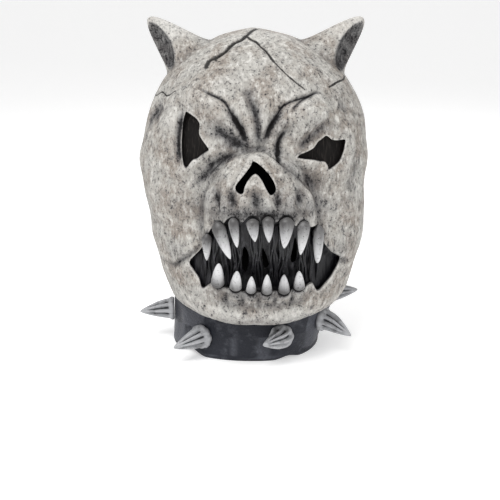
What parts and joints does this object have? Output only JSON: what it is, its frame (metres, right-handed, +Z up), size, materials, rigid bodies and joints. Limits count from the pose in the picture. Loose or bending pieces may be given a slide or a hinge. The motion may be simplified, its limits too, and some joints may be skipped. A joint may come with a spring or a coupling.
{
  "type": "zombie dog mask",
  "caption": "Hollow over-the-head latex mask of a snarling undead bulldog skull, with bared teeth, horn-like ears, a dark torn mouth lining and a spiked collar.",
  "frame": {"origin": "under the middle of the mask's bounding box, at the height of the collar's hem, which stands on the ground", "axes": "+Z up through the crown, -Y the way the face looks, +X to the viewer's right when facing the mask"},
  "size_m": [0.2338, 0.2529, 0.3225],
  "materials": {
    "bone_latex": "matt painted latex, bone grey with a dark wash",
    "tooth_enamel": "satin painted latex, off-white",
    "torn_flesh": "satin painted latex, near black",
    "eye_gauze": "fine black gauze",
    "collar_latex": "satin painted latex, blue-black",
    "spike_latex": "satin painted latex, dry-brushed grey"
  },
  "bodies": {
    "root": {"skull_skin": "bone_latex", "mouth_flesh": "torn_flesh", "left_eye_gauze": "eye_gauze", "right_eye_gauze": "eye_gauze", "collar": "collar_latex", "upper_tooth_1": "tooth_enamel", "upper_tooth_2": "tooth_enamel", "upper_tooth_3": "tooth_enamel", "upper_tooth_4": "tooth_enamel", "upper_tooth_5": "tooth_enamel", "upper_tooth_6": "tooth_enamel", "upper_tooth_7": "tooth_enamel", "upper_tooth_8": "tooth_enamel", "lower_tooth_1": "tooth_enamel", "lower_tooth_2": "tooth_enamel", "lower_tooth_3": "tooth_enamel", "lower_tooth_4": "tooth_enamel", "lower_tooth_5": "tooth_enamel", "lower_tooth_6": "tooth_enamel", "spike_1": "spike_latex", "spike_2": "spike_latex", "spike_3": "spike_latex", "spike_4": "spike_latex", "spike_5": "spike_latex", "spike_6": "spike_latex", "spike_7": "spike_latex", "spike_8": "spike_latex"}
  },
  "joints": []
}
